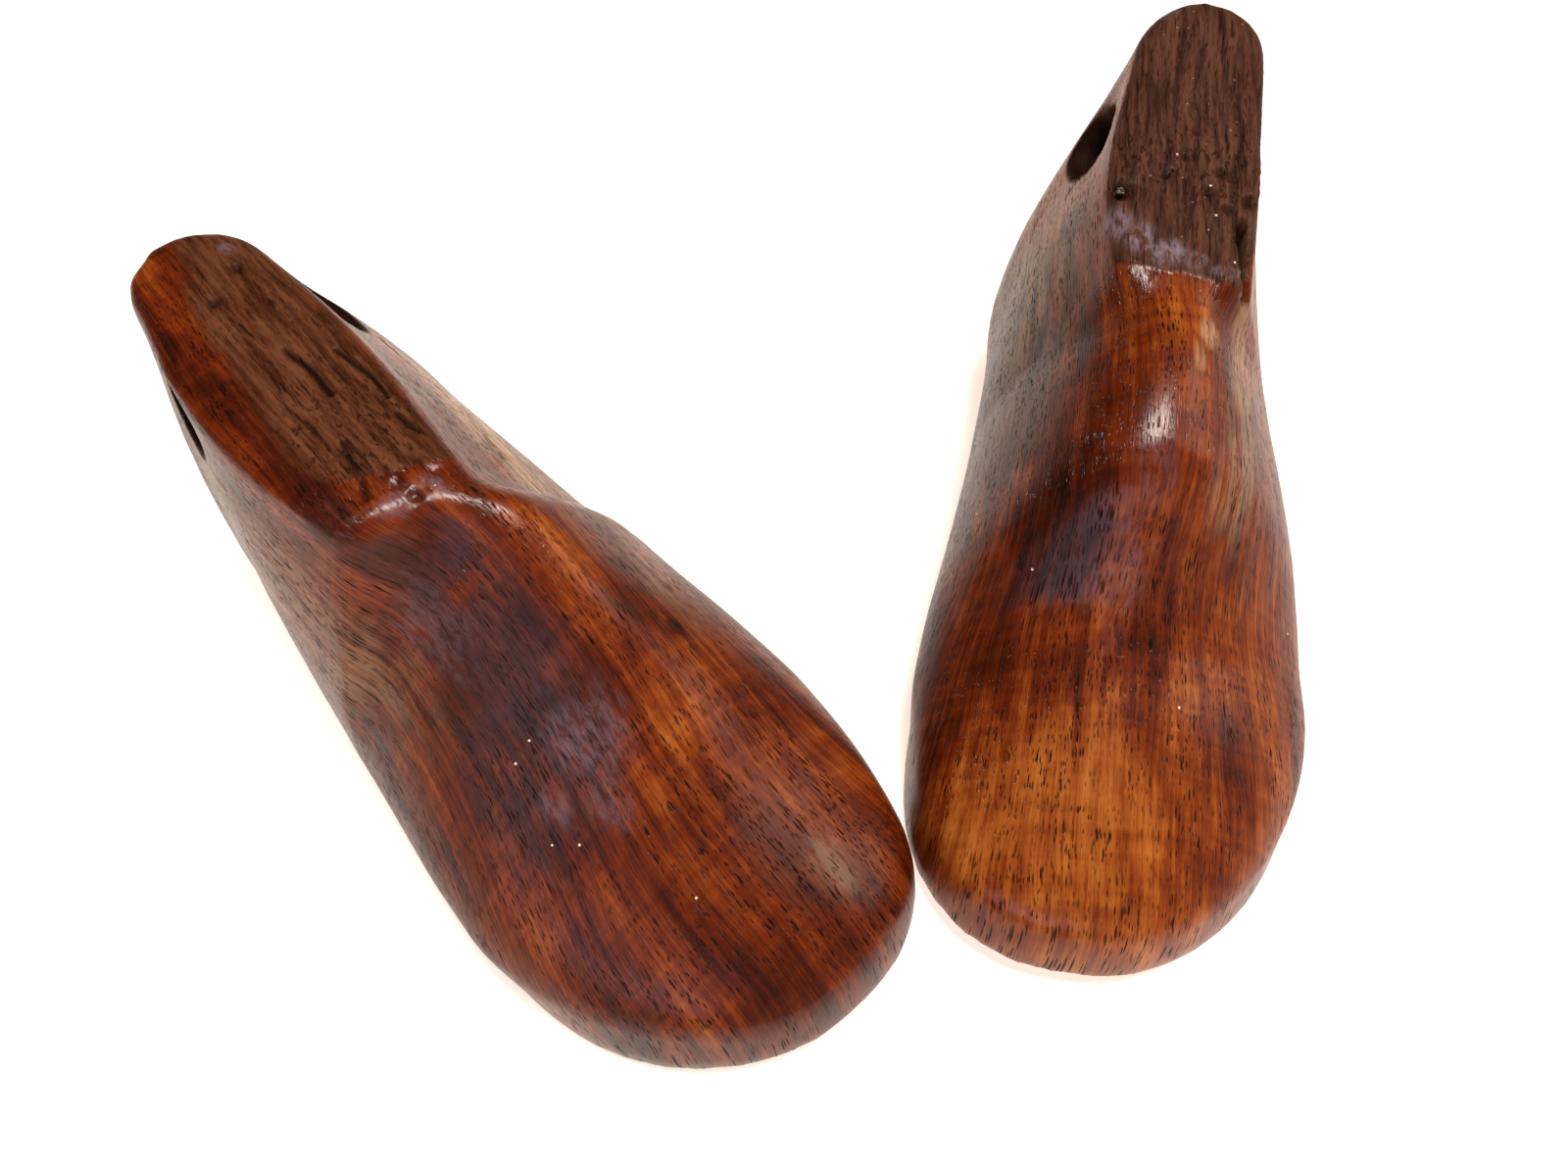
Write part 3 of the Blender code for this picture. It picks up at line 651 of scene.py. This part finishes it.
def grain_places(local, normals):
    """Places along the grain: s, then the way round the section from the crown, then a little of z."""
    s, u, z = local.T
    edges = np.linspace(0, LAST_LENGTH, CROWN_STATIONS)
    station = np.clip(np.searchsorted(edges, s) - 1, 0, CROWN_STATIONS - 2)
    order = np.lexsort((z, station))
    highest = np.flatnonzero(np.diff(station[order], append=CROWN_STATIONS))
    middle = (edges[1:] + edges[:-1]) / 2
    found = station[order][highest]
    crown = np.interp(s, middle[found], z[order][highest])
    ridge = np.interp(s, middle[found], u[order][highest])
    heel = ramp(s, *HEEL_GRAIN_ALONG) * ramp(normals[:, 2], *HEEL_GRAIN_FACING)
    fold = SIDE_FOLD * (1 - heel) * ramp(s, *FOLD_FADE)
    round_way = u + np.sign(u - ridge) * (crown - z) * fold
    return np.stack([s, round_way, z * (GRAIN_RISE + (1 - GRAIN_RISE) * heel)], axis=1)


def distance_to_line(points, start, end):
    """How far each point lies from a straight stretch."""
    run = end - start
    share = np.clip((points - start) @ run / (run @ run), 0, 1)
    return np.linalg.norm(points - start - share[:, None] * run, axis=1)


def distance_to_hole(last, points):
    """How far each world point lies from the middle line of the hole."""
    first, second = last.hole
    run = (second - first) / np.linalg.norm(second - first)
    offset = points - first
    return np.linalg.norm(offset - (offset @ run)[:, None] * run, axis=1)


def carved(points, gap, width, reach, edge):
    """How deep a mark is at each point, as a share; gap is the distance to its middle."""
    near = gap < reach * width
    wobble = width * (1 + uneven(points[near], edge))
    share = np.zeros(len(points))
    share[near] = np.exp(-(gap[near] / wobble) ** 2)
    return share


def carve_marks(points, marks):
    """Depth of the cracks and dents at each point, and how strongly painted shade darkens them there."""
    depth, darkness = np.zeros(len(points)), np.zeros(len(points))
    for route, width, deepest in marks.grooves:
        route = np.array(route)
        gap = np.min([distance_to_line(points, a, b) for a, b in zip(route[:-1], route[1:])], axis=0)
        share = carved(points, gap, width, GROOVE_REACH, GROOVE_EDGE)
        depth = np.maximum(depth, deepest * share)
        darkness = np.maximum(darkness, share)
    for place, width, deepest, darkest in marks.dents:
        gap = np.linalg.norm(points - np.array(place), axis=1)
        share = carved(points, gap, width, DENT_REACH, DENT_EDGE)
        depth = np.maximum(depth, deepest * share)
        darkness = np.maximum(darkness, darkest * share)
    return depth, darkness


def tint(points, patches, seed):
    """Strength of soft patches with ragged outlines at each point."""
    ragged = uneven(points, TINT_EDGE, seed)
    total = np.zeros(len(points))
    for place, along, across, strength in patches:
        offset = (points - np.array(place)) / np.array((along, across, TINT_HEIGHT * across))
        reach = np.linalg.norm(offset, axis=1) + ragged
        total = np.maximum(total, strength * ramp(reach, *TINT_FADE))
    return total


def soften(last, mesh):
    """A remeshed skin's points, smoothed all over and more in the zones that hands and tools wore round."""
    points = smoothed(mesh, read_points(mesh), 1.0, SMOOTH_STEPS)
    local = to_local(last, points)
    height = local[:, 2]
    behind = lip_place(last, local)
    hump = ramp(behind, last.hump_start, last.hump_start - HUMP_LENGTH)
    hump = hump * ramp(behind, *HUMP_END) * ramp(height, *HUMP_LEVEL)
    points = smoothed(mesh, points, hump, HUMP_STEPS)
    edges = ramp(height, *EDGE_LEVEL) * ramp(distance_to_hole(last, points), *EDGE_OFF_HOLE)
    points = smoothed(mesh, points, edges, EDGE_STEPS)
    points = smoothed(mesh, points, ramp(height, *RIM_BOTTOM) * ramp(height, *RIM_TOP), RIM_STEPS)
    if last.node == "left_foot_last":
        heel_end = ramp(local[:, 0], *HEEL_END_ALONG) * ramp(height, *HEEL_END_LEVEL)
        points += heel_end[:, None] * (np.array((0, 0, HEEL_END_RISE)) - HEEL_END_BACK * last.along)
    return points


def split_fine(last, mesh):
    """Make the skin finer at the cracks and on the flat top, and give back its points."""
    points = read_points(mesh)
    for _ in range(REFINE_ROUNDS):
        local = to_local(last, points)
        cracked = carve_marks(local, last.marks)[1] > CRACK_LEAST
        on_top = top_share(last, local, read_normals(mesh)) > TOP_LEAST
        refine(mesh, cracked | on_top & (len(points) < FINE_POINTS))
        points = read_points(mesh)
    return points


def store_looks(last, mesh, points, normals, crack):
    """Store what the wood's material reads at each point."""
    local = to_local(last, points)
    top = top_share(last, local, normals)
    bare = top * bare_share(last, local)
    middle, half_length = last.pitted
    off_pits = np.abs(local[:, 0] - middle) - half_length
    add_attribute(mesh, "last_place", local * MM_PER_M)
    add_attribute(mesh, "grain_place", grain_places(local, normals) * MM_PER_M)
    add_attribute(mesh, "bare", bare)
    add_attribute(mesh, "pitted", bare * ramp(off_pits, *PITTED_FADE))
    # Cracks, dents and the hole's bore, which the material darkens with painted shade
    add_attribute(mesh, "crack", crack)
    add_attribute(mesh, "bore", ramp(distance_to_hole(last, points), *BORE_FADE))
    for number, name in enumerate(TINTS):
        seed = last.seed + TINT_SEED + TINT_SEED_STEP * number
        add_attribute(mesh, name, tint(local, getattr(last.marks, name), seed))


def make_skin(last):
    """The last's fine skin, with its relief cut into the mesh."""
    points, faces = rounded_facets(*weld(frame["nodes"][last.node]))
    item = mesh_object(last.node + "_wood", points, faces)
    remesh(item)
    mesh = item.data
    write_points(mesh, soften(last, mesh))
    points = split_fine(last, mesh)
    normals = read_normals(mesh)
    local = to_local(last, points)
    top = top_share(last, local, normals)
    depth, crack = carve_marks(local, last.marks)
    relief = top * uneven(local, TOP_RELIEF, last.seed) + (1 - top) * uneven(local, BODY_RELIEF, last.seed)
    write_points(mesh, points + normals * (relief - depth)[:, None])
    mesh.shade_smooth()
    store_looks(last, mesh, points, normals, crack)
    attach(item, last.body)
    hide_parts(last.node)
    return item


def add(tree, kind, inputs=None, **options):
    """Add a shader node; inputs are values or the outputs of other nodes."""
    made = tree.nodes.new(kind)
    for key, value in options.items():
        setattr(made, key, value)
    for key, value in (inputs or {}).items():
        if isinstance(value, bpy.types.NodeSocket):
            tree.links.new(value, made.inputs[key])
        else:
            made.inputs[key].default_value = value
    return made


def calculate(tree, operation, *values):
    """One Math node."""
    return add(tree, "ShaderNodeMath", dict(enumerate(values)), operation=operation).outputs[0]


def spread(tree, value, low, high, to_low=0.0, to_high=1.0):
    """Map a value from one range to another, eased and held at the ends."""
    inputs = {"Value": value, "From Min": low, "From Max": high, "To Min": to_low, "To Max": to_high}
    return add(tree, "ShaderNodeMapRange", inputs, interpolation_type="SMOOTHSTEP").outputs["Result"]


def blend_colour(tree, factor, first, second):
    """Mix two colours by a factor."""
    return add(tree, "ShaderNodeMix", {0: factor, 6: first, 7: second}, data_type="RGBA").outputs[2]


def stretched(tree, place, scale):
    """Texture coordinates scaled on each axis."""
    return add(tree, "ShaderNodeMapping", {"Vector": place, "Scale": scale}).outputs[0]


def noise_value(tree, place, pattern):
    """A pattern's noise."""
    inputs = {"Vector": stretched(tree, place, pattern.scale), "Scale": 1.0, "Detail": pattern.detail,
              "Roughness": pattern.roughness, "Distortion": pattern.distortion}
    return add(tree, "ShaderNodeTexNoise", inputs).outputs["Fac"]


def attribute_value(tree, name):
    """A number stored on the skin's points."""
    return add(tree, "ShaderNodeAttribute", attribute_name=name).outputs["Fac"]


def scattered(tree, place, dashes):
    """1 inside dashes or dots scattered over the wood."""
    cells = add(tree, "ShaderNodeTexVoronoi", {"Vector": stretched(tree, place, dashes.scale), "Scale": 1.0})
    chance = add(tree, "ShaderNodeSeparateColor", {"Color": cells.outputs["Color"]}).outputs[0]
    inside = spread(tree, cells.outputs["Distance"], dashes.size, dashes.size * DASH_CORE)
    empty = 1 - dashes.share
    return calculate(tree, "MULTIPLY", inside, spread(tree, chance, empty, empty + DASH_FADE))


def near_specks(tree, place, specks):
    """1 inside tiny pale chips, and painted glints, at the given places of a last."""
    nearest = None
    for speck in specks:
        middle = tuple(MM_PER_M * x for x in speck)
        offset = add(tree, "ShaderNodeVectorMath", {0: place, 1: middle}, operation="DISTANCE")
        gap = offset.outputs["Value"]
        nearest = gap if nearest is None else calculate(tree, "MINIMUM", nearest, gap)
    return spread(tree, nearest, *SPECK_BY_GAP)


def swaying_grain(tree, last):
    """Coordinates along the grain, in millimetres."""
    place = add(tree, "ShaderNodeAttribute", attribute_name="grain_place").outputs["Vector"]
    shift = (last.seed * GRAIN_SHIFT, 0, 0)
    place = add(tree, "ShaderNodeMapping", {"Vector": place, "Location": shift}).outputs[0]
    sway = {"Vector": place, "Scale": SWAY_SCALE, "Detail": SWAY_DETAIL}
    sway = add(tree, "ShaderNodeTexNoise", sway).outputs["Color"]
    sway = add(tree, "ShaderNodeVectorMath", {0: sway, 1: SWAY}, operation="MULTIPLY").outputs[0]
    return add(tree, "ShaderNodeVectorMath", {0: place, 1: sway}, operation="ADD").outputs[0]


def open_pores(tree, place):
    """1 inside open pores, which are thicker in some patches than in others."""
    pore = calculate(tree, "MAXIMUM", scattered(tree, place, LONG_PORES), scattered(tree, place, SHORT_PORES))
    patchy = spread(tree, noise_value(tree, place, PORE_PATCHES), *PORES_BY_PATCH)
    return calculate(tree, "MULTIPLY", pore, patchy)


def torn_wood(tree, place, bare, pitted):
    """1 in the tears and pits of the bare wood."""
    tears = spread(tree, noise_value(tree, place, TEARS), *TEARS_BY_NOISE)
    pits = spread(tree, noise_value(tree, place, PITS), *PITS_BY_NOISE)
    tears, pits = calculate(tree, "MULTIPLY", tears, bare), calculate(tree, "MULTIPLY", pits, pitted)
    return calculate(tree, "MAXIMUM", tears, pits)


def wood_tone(tree, place, last):
    """How light the wood is: soft patches, streaks along the grain, and the orange and dark patches, the dark
    ones partly painted shade.
    """
    tone = TONE_START + last.tone
    for pattern, weight in TONE_WEIGHTS:
        tone = calculate(tree, "MULTIPLY_ADD", noise_value(tree, place, pattern), weight, tone)
    # Orange stain, and dark patches that are partly painted shade
    for name, weight in TONE_PATCHES:
        tone = calculate(tree, "MULTIPLY_ADD", attribute_value(tree, name), weight, tone)
    return tone


def stained_colour(tree, place, last):
    """The stained wood's colour by its tone."""
    ramp_node = add(tree, "ShaderNodeValToRGB", {"Fac": wood_tone(tree, place, last)})
    stops = ramp_node.color_ramp.elements
    for position, shade in WOOD_SHADES[1:-1]:
        stops.new(position).color = (*shade, 1)
    for stop, (position, shade) in ((stops[0], WOOD_SHADES[0]), (stops[-1], WOOD_SHADES[-1])):
        stop.position, stop.color = position, (*shade, 1)
    return ramp_node.outputs[0]


def wood_colour(tree, place, last, surface):
    """The wood's colour with its wear, pores, cracks and dust, and painted sheen, reflections, highlights,
    glints and shade.
    """
    colour = stained_colour(tree, place, last)
    colour = blend_colour(tree, spread(tree, surface.fibre, *FIBRE_BY_NOISE), colour, FIBRE_COLOUR)
    # Pale worn wood and painted sheen and highlights, in patches where the pale tints are
    pale_wear_and_sheen = spread(tree, surface.wear, *PALE_AND_SHEEN_BY_NOISE)
    pale_wear_and_sheen = calculate(tree, "MULTIPLY", attribute_value(tree, "pale"), pale_wear_and_sheen)
    colour = blend_colour(tree, pale_wear_and_sheen, colour, PALE_WOOD_AND_SHEEN)
    dark_shade, light_shade = ((*shade, 1) for shade in last.top_shades)
    worn_top = blend_colour(tree, spread(tree, surface.wear, *SHADE_BY_WEAR), dark_shade, light_shade)
    colour = blend_colour(tree, surface.bare, colour, worn_top)
    shown = calculate(tree, "MULTIPLY", surface.pore, spread(tree, surface.bare, *PORES_BY_BARE))
    colour = blend_colour(tree, shown, colour, PORE_COLOUR)
    # Painted reflection of a bluish window, lilac, in wavy streaks where the lilac tints are
    swirl = spread(tree, noise_value(tree, place, SWIRL), *REFLECTION_BY_SWIRL)
    painted_reflection = calculate(tree, "MULTIPLY", attribute_value(tree, "lilac"), swirl)
    colour = blend_colour(tree, painted_reflection, colour, LILAC_PAINTED_REFLECTION)
    torn = calculate(tree, "MULTIPLY", surface.torn, TORN_DARKNESS)
    colour = blend_colour(tree, torn, colour, TORN_COLOUR)
    # Painted shade in the cracks, dents and the hole's bore
    hidden = calculate(tree, "MULTIPLY", surface.hidden, HOLLOW_SHADE_STRENGTH)
    colour = blend_colour(tree, hidden, colour, HOLLOW_SHADE_COLOUR)
    spots = add(tree, "ShaderNodeAttribute", attribute_name="last_place").outputs["Vector"]
    dust = calculate(tree, "MULTIPLY", scattered(tree, spots, DUST_DOTS), surface.bare)
    colour = blend_colour(tree, calculate(tree, "MULTIPLY", dust, last.dust), colour, DUST_COLOUR)
    # Pale chips, and painted glints at the right last's lip
    return blend_colour(tree, near_specks(tree, spots, last.marks.specks), colour, PALE_SPECK_AND_GLINT_COLOUR)


def wood_bump(tree, surface):
    """Fine relief of the fibres, pores, tears and wear."""
    height = calculate(tree, "MULTIPLY", surface.pore, PORE_HEIGHT)
    height = calculate(tree, "MULTIPLY_ADD", surface.fibre, FIBRE_HEIGHT, height)
    height = calculate(tree, "MULTIPLY_ADD", surface.torn, TORN_HEIGHT, height)
    worn = calculate(tree, "MULTIPLY", surface.wear, surface.bare)
    height = calculate(tree, "MULTIPLY_ADD", worn, WEAR_HEIGHT, height)
    inputs = {"Height": height, "Strength": BUMP_STRENGTH, "Distance": BUMP_HEIGHT}
    return add(tree, "ShaderNodeBump", inputs).outputs[0]


def new_material(name):
    """A node material with its node tree and its shader."""
    material = bpy.data.materials.new(name)
    material.use_nodes = True
    return material, material.node_tree, material.node_tree.nodes["Principled BSDF"]


def wood_material(last):
    """Red-brown stained wood with open pores under an old satin varnish."""
    material, tree, shader = new_material(last.slot + "_looks")
    place = swaying_grain(tree, last)
    bare = attribute_value(tree, "bare")
    surface = Surface(
        fibre=noise_value(tree, place, FIBRE),
        wear=noise_value(tree, place, WEAR),
        pore=open_pores(tree, place),
        torn=torn_wood(tree, place, bare, attribute_value(tree, "pitted")),
        # Cracks, dents and the hole's bore, which get painted shade
        hidden=calculate(tree, "MAXIMUM", attribute_value(tree, "crack"), attribute_value(tree, "bore")),
        bare=bare,
    )
    broken = calculate(tree, "MAXIMUM", surface.hidden, surface.torn)
    whole = calculate(tree, "SUBTRACT", 1.0, calculate(tree, "MAXIMUM", surface.pore, broken))
    coat = calculate(tree, "MULTIPLY", whole, spread(tree, bare, *COAT_BY_BARE))
    bump = wood_bump(tree, surface)
    tree.links.new(wood_colour(tree, place, last, surface), shader.inputs["Base Color"])
    tree.links.new(bump, shader.inputs["Normal"])
    tree.links.new(bump, shader.inputs["Coat Normal"])
    tree.links.new(coat, shader.inputs["Coat Weight"])
    shader.inputs["Roughness"].default_value = WOOD_ROUGHNESS
    shader.inputs["Specular IOR Level"].default_value = WOOD_SPECULAR
    shader.inputs["Coat Roughness"].default_value = COAT_ROUGHNESS
    return material


def steel_material():
    """Old steel, worn bright on its head."""
    material, tree, shader = new_material("brad_steel_looks")
    place = add(tree, "ShaderNodeTexCoord").outputs["Object"]
    inputs = {"Vector": place, "Scale": STEEL_SCALE, "Detail": STEEL_DETAIL}
    spots = add(tree, "ShaderNodeTexNoise", inputs).outputs["Fac"]
    colour = blend_colour(tree, spread(tree, spots, *BRIGHT_BY_NOISE), STEEL_DARK, STEEL_BRIGHT)
    tree.links.new(colour, shader.inputs["Base Color"])
    tree.links.new(spread(tree, spots, *ROUGH_BY_NOISE), shader.inputs["Roughness"])
    shader.inputs["Metallic"].default_value = 1.0
    return material


def toward(azimuth, elevation, distance):
    """A place seen from the frame's origin at an azimuth and an elevation in degrees."""
    turn, rise = math.radians(azimuth), math.radians(elevation)
    flat = distance * math.cos(rise)
    return (flat * math.cos(turn), flat * math.sin(turn), distance * math.sin(rise))


def area_light(light):
    """A soft rectangular light that faces the lasts."""
    data = bpy.data.lights.new(light.name, "AREA")
    data.shape = "RECTANGLE"
    data.size, data.size_y = light.size
    data.energy = light.power
    data.color = light.colour
    item = bpy.data.objects.new(light.name, data)
    bpy.context.scene.collection.objects.link(item)
    item.location = toward(light.azimuth, light.elevation, light.distance)
    item.rotation_euler = (Vector(LIGHT_TARGET) - item.location).to_track_quat("-Z", "Y").to_euler()


def make_floor():
    """A white floor."""
    side = FLOOR_SIZE / 2
    corners = np.array([(-side, -side, 0), (side, -side, 0), (side, side, 0), (-side, side, 0)])
    floor = mesh_object("floor", corners, np.array([(0, 1, 2, 3)]))
    paint, _, shader = new_material("floor_paint")
    shader.inputs["Base Color"].default_value = FLOOR_COLOUR
    shader.inputs["Roughness"].default_value = FLOOR_ROUGHNESS
    shader.inputs["Emission Color"].default_value = FLOOR_GLOW_COLOUR
    shader.inputs["Emission Strength"].default_value = FLOOR_GLOW
    floor.data.materials.append(paint)


def make_room():
    """A dim room that is lighter low down on one side."""
    world = bpy.data.worlds.new("studio")
    bpy.context.scene.world = world
    world.use_nodes = True
    tree = world.node_tree
    direction = add(tree, "ShaderNodeTexCoord").outputs["Generated"]
    height = add(tree, "ShaderNodeSeparateXYZ", {0: direction}).outputs["Z"]
    lit_side = {0: direction, 1: toward(SKY_AZIMUTH, 0, 1)}
    ahead = add(tree, "ShaderNodeVectorMath", lit_side, operation="DOT_PRODUCT").outputs["Value"]
    low, near = spread(tree, height, *SKY_BY_HEIGHT), spread(tree, ahead, *SKY_BY_SIDE)
    sky = blend_colour(tree, calculate(tree, "MULTIPLY", low, near), SKY_DARK, SKY_LIGHT)
    tree.links.new(sky, tree.nodes["Background"].inputs["Color"])


def make_camera():
    """The photograph's camera."""
    data = bpy.data.cameras.new("camera")
    data.lens = CAMERA_LENS
    data.sensor_width = CAMERA_SENSOR
    data.clip_start = NEAR_CLIP
    item = bpy.data.objects.new("camera", data)
    bpy.context.scene.collection.objects.link(item)
    turn = Matrix.Rotation(CAMERA_AZIMUTH - math.pi / 2, 4, "Z")
    turn = turn @ Matrix.Rotation(math.pi / 2 - CAMERA_DOWN, 4, "X")
    item.matrix_world = Matrix.Translation(CAMERA_PLACE) @ turn @ Matrix.Rotation(-CAMERA_ROLL, 4, "Z")
    bpy.context.scene.camera = item


make_camera()
make_floor()
make_room()
for light in LIGHTS:
    area_light(light)
for pair_half in (find_last("left", 1, LEFT_LOOKS), find_last("right", -1, RIGHT_LOOKS)):
    make_skin(pair_half).data.materials.append(wood_material(pair_half))
brad = frame["nodes"]["left_foot_brad"]
brad.data.materials.clear()
brad.data.materials.append(steel_material())
bpy.context.scene.view_settings.view_transform = "Standard"
